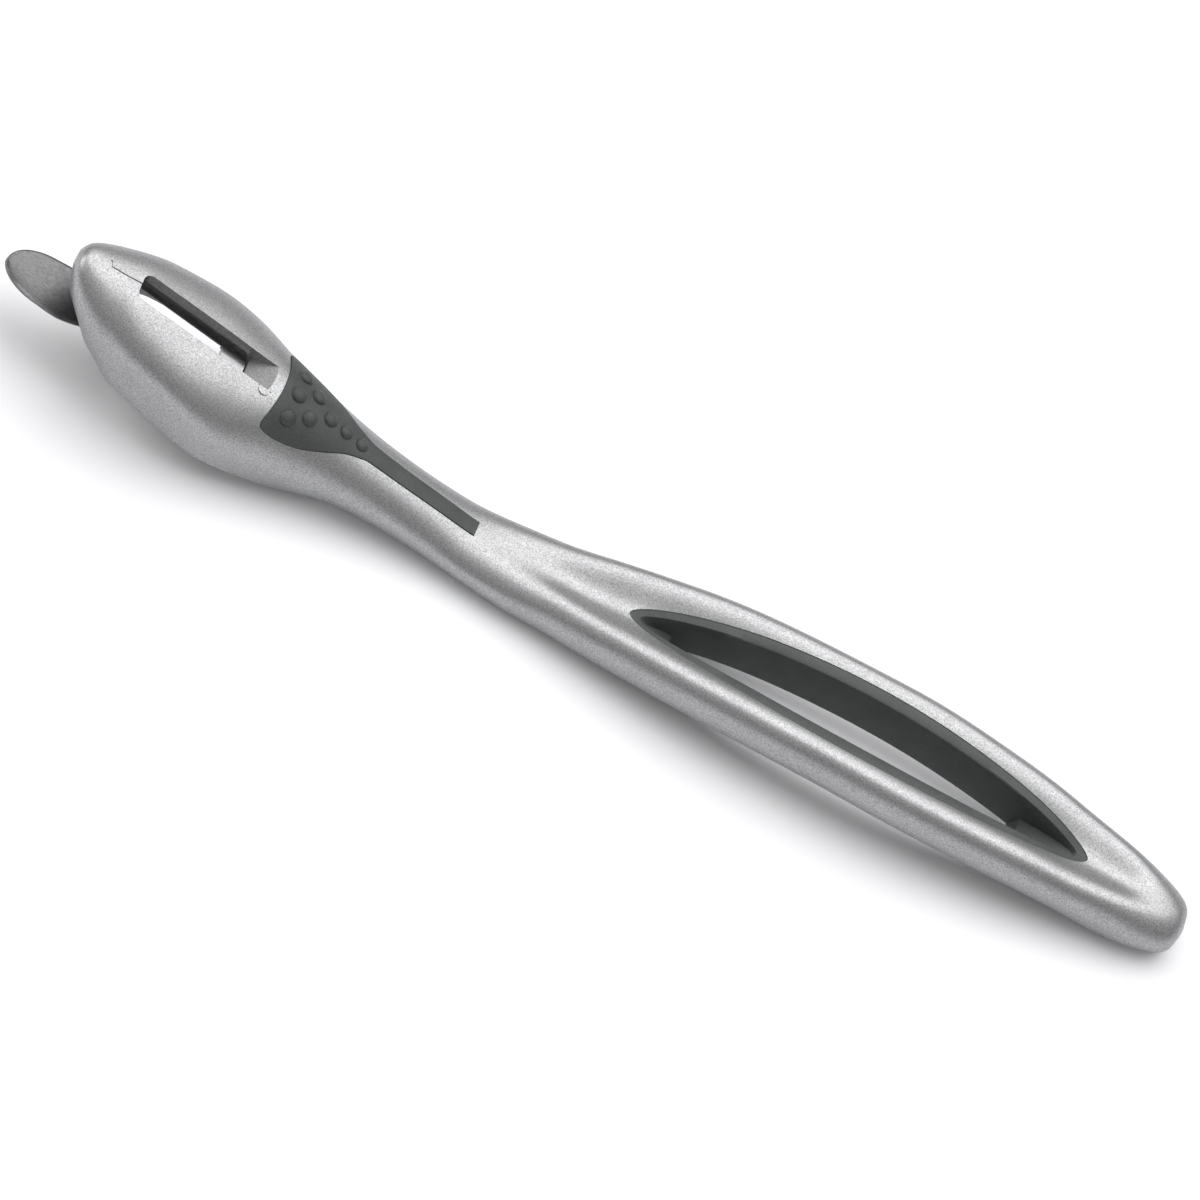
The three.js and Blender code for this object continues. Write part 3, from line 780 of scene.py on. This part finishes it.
# ---- Bumps on the thumb pad ----------------------------------------------------------------------
def bump_tree():
    """Domes on the points that come in, each sized by the point's share and turned by its lean."""
    tree = bpy.data.node_groups.new("pad_bumps", "GeometryNodeTree")
    sockets = {"Geometry": "Geometry", "Radius": "Float", "Height": "Float", "Material": "Material"}
    for name, kind in sockets.items():
        tree.interface.new_socket(name, in_out="INPUT", socket_type="NodeSocket" + kind)
    tree.interface.new_socket("Geometry", in_out="OUTPUT", socket_type="NodeSocketGeometry")
    nodes = Nodes(tree)
    enter = tree.nodes.new("NodeGroupInput")
    points, radius, height, material = (Value(nodes, enter.outputs[name]) for name in sockets)
    ball = nodes.node("GeometryNodeMeshUVSphere", {}, {"Segments": 40, "Rings": 20, "Radius": radius}, "Mesh")
    flat = nodes.node("ShaderNodeCombineXYZ", {}, {"X": 1, "Y": 1, "Z": height / radius})
    dome = nodes.node("GeometryNodeTransform", {}, {"Geometry": ball, "Scale": flat})
    share, lean = (
        nodes.node("GeometryNodeInputNamedAttribute", {"data_type": kind}, {"Name": name}, "Attribute")
        for name, kind in (("share", "FLOAT"), ("lean", "FLOAT_VECTOR"))
    )
    inputs = {"Points": points, "Instance": dome, "Scale": share, "Rotation": lean}
    domes = nodes.node("GeometryNodeInstanceOnPoints", {}, inputs)
    real = nodes.node("GeometryNodeRealizeInstances", {}, {0: domes})
    coated = nodes.node("GeometryNodeSetMaterial", {}, {"Geometry": real, "Material": material})
    nodes.connect(coated, tree.nodes.new("NodeGroupOutput").inputs[0])
    return tree


def pad_bumps():
    """Eight bumps: three across the pad's front, two behind them, then one after another."""
    rows = [(0, 0), (0, 4.2), (0, -4.2), (1, 2.2), (1, -2.2), (2, 0), (3, 0), (4, 0)]
    near = 0.2
    points, shares, leans = [], [], []
    for row, y in rows:
        x = PAD_FRONT + BUMP_START + row * BUMP_PITCH
        points.append((x, y, crest_at(x, y) + PAD_PROUD - 0.04))
        shares.append(1 - 0.04 * row)
        across = (crest_at(x, y + near) - crest_at(x, y - near)) / (2 * near)
        along = (crest_at(x + near, y) - crest_at(x - near, y)) / (2 * near)
        leans.extend((math.atan(across), -math.atan(along), 0))
    piece = to_object("pad_bumps", points, [])
    share = piece.data.attributes.new("share", "FLOAT", "POINT")
    share.data.foreach_set("value", shares)
    lean = piece.data.attributes.new("lean", "FLOAT_VECTOR", "POINT")
    lean.data.foreach_set("vector", leans)
    tree = bump_tree()
    nodes = piece.modifiers.new("bumps", "NODES")
    nodes.node_group = tree
    named = {item.name: item.identifier for item in tree.interface.items_tree if item.in_out == "INPUT"}
    nodes[named["Radius"]] = BUMP_RADIUS * MM
    nodes[named["Height"]] = BUMP_HEIGHT * MM
    nodes[named["Material"]] = RUBBER
    return settle(piece)


# ---- Blade, scoop, pins --------------------------------------------------------------------------
def swivel_blade():
    """Arched blade: the arch thins to a cutting edge on each side of the slit."""
    slit_front, slit_rear = SLOT_FRONT + 0.8, BLADE_REAR - SLIT_WEB
    edge = math.asin(SLIT_HALF_WIDTH / BLADE_RADIUS)
    angles = [BLADE_HALF_ANGLE * (1 - 2 * i / 96) for i in range(97)]

    def arch(x):
        outer = [(x, BLADE_RADIUS * math.sin(a), BLADE_RADIUS * math.cos(a)) for a in angles]
        inner_radius = BLADE_RADIUS - BLADE_THICKNESS
        inner = [(x, inner_radius * math.sin(a), inner_radius * math.cos(a)) for a in reversed(angles)]
        return outer + inner

    blade = skin("blade", [arch(x) for x in places(BLADE_FRONT, BLADE_REAR, 0.8)])
    point_out(blade)
    slit = slab("slit", slit_front, slit_rear, -SLIT_HALF_WIDTH, SLIT_HALF_WIDTH, 0, FAR)
    boolean(blade, [slit], "DIFFERENCE")
    for side in (-1, 1):
        hone = slab("hone", slit_front + 0.2, slit_rear - 0.2, -1.0, 1.0, -1.2, 0)
        place = Vector((0, side * SLIT_HALF_WIDTH * 0.9, BLADE_RADIUS * math.cos(edge) - 0.16)) * MM
        hone.data.transform(Matrix.Translation(place) @ Matrix.Rotation(side * math.radians(-28), 4, "X"))
        boolean(blade, [hone], "DIFFERENCE")
    tab_radius = BLADE_RADIUS - BLADE_THICKNESS / 2
    rear = rod("rear_tab", tab_radius, BLADE_REAR - TAB_THICKNESS, BLADE_REAR, 72)
    front = rod("front_tab", tab_radius, BLADE_FRONT, BLADE_FRONT + TAB_THICKNESS, 72)
    keep = slab("keep", -FAR, FAR, -FRONT_TAB_HALF_WIDTH, FRONT_TAB_HALF_WIDTH, -1.6, FAR)
    boolean(front, [keep], "INTERSECT")
    boolean(blade, [rear, front], "UNION")
    side = [
        (BLADE_FRONT, FRONT_TAB_HALF_WIDTH), (SLOT_FRONT + 4, BLADE_RADIUS), (BLADE_REAR - 3, BLADE_RADIUS),
        (BLADE_REAR, REAR_TAB_HALF_WIDTH),
    ]
    plan = prism("plan", [(x, -y) for x, y in side] + side[::-1], -FAR, FAR)
    boolean(blade, [plan], "INTERSECT")
    hole = rod("hole", PIVOT_PIN_RADIUS + BLADE_CLEARANCE, BLADE_FRONT - 1, BLADE_REAR + 1)
    notch_half = (STOP_PIN_DROP + STOP_PIN_RADIUS) * math.sin(BLADE_SWING) + STOP_PIN_RADIUS + 0.25
    notch_top = STOP_PIN_RADIUS + 0.6 - STOP_PIN_DROP
    notch = slab("notch", BLADE_REAR - 2, BLADE_REAR + 1, -notch_half, notch_half, -FAR, notch_top)
    boolean(blade, [hole, notch], "DIFFERENCE")
    blade.data.transform(Matrix.Translation((0, 0, -BLADE_AXIS_DEPTH * MM)))
    return in_head(blade)


def pin(name, radius, start, stop, drop):
    """Pin with chamfered ends."""
    cut = 0.2
    turn = full_turn(48)
    stations = [(start, radius - cut), (start + cut, radius), (stop - cut, radius), (stop, radius - cut)]
    rings = [[(x, r * math.cos(a), r * math.sin(a) - drop) for a in turn] for x, r in stations]
    piece = skin(name, rings)
    point_out(piece)
    return in_head(piece)


SHANK_REAR = SCOOP_BOSS_REAR - SEAT_GAP
REAR_RIVET = SHANK_REAR - RIVET_MARGIN
RIVETS = {"scoop_rivet_front": REAR_RIVET - RIVET_PITCH, "scoop_rivet_rear": REAR_RIVET}


def scoop_rivet(place):
    """Rivet with a domed head below the shank."""
    under = SHANK_TOP - SCOOP_THICKNESS - PIN_CLEARANCE
    dome = []
    for step in range(8):
        angle = math.radians(85 - 12 * step)
        dome.append((RIVET_HEAD_RADIUS * math.cos(angle), under - 0.1 - 0.5 * math.sin(angle)))
    head = dome + [(RIVET_HEAD_RADIUS, under)]
    piece = turned("rivet", head + [(RIVET_RADIUS, under), (RIVET_RADIUS, RIM + 1.5)])
    piece.data.transform(Matrix.Translation((place * MM, 0, 0)))
    return in_head(piece)


def eye_scoop():
    """Dished leaf with a bevelled edge, drooping towards its tip, and a flat shank with two rivet holes."""
    fall = (SHANK_TOP - 2.5) * math.sin(HEAD_PITCH)
    tip = (NOSE - SCOOP_REACH - HEAD_X - fall) / math.cos(HEAD_PITCH) + 0.1
    reach = SHANK_REAR - tip
    leaf = smooth_through([
        (0, 0.14), (0.015, 0.3), (0.05, 0.5), (0.12, 0.72), (0.23, 0.9), (0.36, 0.97), (0.5, 1),
        (0.62, 0.9), (0.74, 0.72), (0.84, 0.64), (1, 0.62),
    ], 6)
    sides = [1 - 2 * i / 40 for i in range(41)]
    rings = []
    for part, width in leaf:
        half = width * SCOOP_HALF_WIDTH
        x = tip + part * reach
        fade = max(0, 1 - part / 0.7)
        top = SHANK_TOP - SCOOP_DROOP * fade**1.5
        dish = 0.6 * fade * width
        under = top - SCOOP_THICKNESS
        upper = [(x, s * half, top - dish * (1 - s * s) - 2 * max(0, abs(s) - 0.9)) for s in sides]
        lower = [(x, s * (half - 0.25), under - dish * (1 - s * s)) for s in reversed(sides)]
        rings.append(upper + lower)
    piece = skin("scoop", rings)
    point_out(piece)
    for place in RIVETS.values():
        hole = rod("hole", RIVET_RADIUS + PIN_CLEARANCE, RIM - 6, RIM + 2)
        hole.data.transform(Matrix.Translation((place * MM, 0, 0)) @ Matrix.Rotation(-math.pi / 2, 4, "Y"))
        boolean(piece, [hole], "DIFFERENCE")
    return in_head(piece)


# ---- Assembly ------------------------------------------------------------------------------------
add_piece("casting", body_casting(), CAST, "body", ["body_casting"])
add_piece("pad", thumb_pad(), RUBBER, "body", ["thumb_pad"])
add_piece("bumps", pad_bumps(), RUBBER, "body", [])
add_piece("loop_liner", grip_liner(), LINER_RUBBER, "body", ["grip_liner"], 40)
add_piece("twin_edge_blade", swivel_blade(), BLADE_STEEL, "blade", ["swivel_blade"])
add_piece("leaf_scoop", eye_scoop(), SCOOP_STEEL, "body", ["eye_scoop"])
PINS = {
    "front_pivot_pin": (PIVOT_PIN_RADIUS, BLADE_FRONT - PIVOT_PIN_DEPTH, BLADE_FRONT + PIN_REACH, 0),
    "rear_pivot_pin": (PIVOT_PIN_RADIUS, BLADE_REAR - PIN_REACH, RAMP_FOOT + PIVOT_PIN_DEPTH, 0),
    "blade_stop_pin": (STOP_PIN_RADIUS, BLADE_REAR - PIN_REACH, RAMP_FOOT + STOP_PIN_DEPTH, STOP_PIN_DROP),
}
for node, (radius, start, stop, drop) in PINS.items():
    piece = pin(node, radius, start, stop, BLADE_AXIS_DEPTH + drop)
    add_piece(node + "_steel", piece, PIN_STEEL, "body", [node])
for node, place in RIVETS.items():
    add_piece(node + "_steel", scoop_rivet(place), PIN_STEEL, "body", [node], 40)


# ---- Studio --------------------------------------------------------------------------------------
def studio_floor():
    """Pale floor, a hair below the flats that the tool lies on."""
    half, below = 3000, -0.02
    corners = [(x, y, below) for x, y in ((-half, -half), (half, -half), (half, half), (-half, half))]
    floor = to_object("studio_floor", corners, [(0, 1, 2, 3)])
    f = Finish("pale_floor")
    cloud = f.noise(3, 2.0)
    floor.data.materials.append(f.set(Base_Color=f.mix(cloud, grey(0.93), grey(0.95)), Roughness=0.9))


def lamp(name, place, size, power, target=(0, 0, 0)):
    """Soft rectangular light, turned towards its target."""
    light = bpy.data.lights.new(name, "AREA")
    light.shape = "RECTANGLE"
    light.size, light.size_y = size
    light.energy = power
    lamp_object = bpy.data.objects.new(name, light)
    lamp_object.location = place
    aim = Vector(target) - Vector(place)
    lamp_object.rotation_euler = aim.to_track_quat("-Z", "Y").to_euler()
    bpy.context.scene.collection.objects.link(lamp_object)


def studio_sky():
    """Bright overhead, darker towards the horizon."""
    world = bpy.data.worlds.new("studio")
    world.use_nodes = True
    bpy.context.scene.world = world
    sky = Nodes(world.node_tree)
    place = sky.node("ShaderNodeTexCoord", {}, {}, "Generated")
    height = sky.node("ShaderNodeSeparateXYZ", {}, {0: place}, "Z")
    stops = [(0.0, grey(0.2)), (0.12, grey(0.22)), (0.5, grey(0.45)), (0.95, grey(0.6))]
    colour = sky.node("ShaderNodeValToRGB", {"stops": stops}, {"Fac": height}, "Color")
    background = sky.tree.nodes["Background"]
    sky.connect(colour, background.inputs["Color"])
    sky.connect(1.0, background.inputs["Strength"])


def camera():
    """Long lens, seen from the near side and above, nose to the upper left."""
    distance = 6.0
    frame_width = 0.1884
    towards = Vector((-0.1132, -0.565, 0.8174)).normalized()
    right = Vector((0.8715, 0.339, 0.3547))
    right = (right - right.dot(towards) * towards).normalized()
    up = towards.cross(right)
    target = Vector((0.001, 0, 0.0076))
    lens = bpy.data.cameras.new("camera")
    lens.sensor_width = 36
    lens.lens = lens.sensor_width * distance / frame_width
    lens.clip_end = 20
    cam = bpy.data.objects.new("camera", lens)
    cam.matrix_world = Matrix.Translation(target + towards * distance) @ Matrix(
        (right, up, towards)).transposed().to_4x4()
    bpy.context.scene.collection.objects.link(cam)
    bpy.context.scene.camera = cam


studio_floor()
lamp("overhead", (0.2, 0.6, 1.25), (1.9, 1.6), 20, (0.0, 0.3, 0))
lamp("nose_side", (-1.3, 0.0, 0.75), (0.7, 0.9), 7)
studio_sky()
camera()
bpy.context.scene.view_settings.view_transform = "Standard"
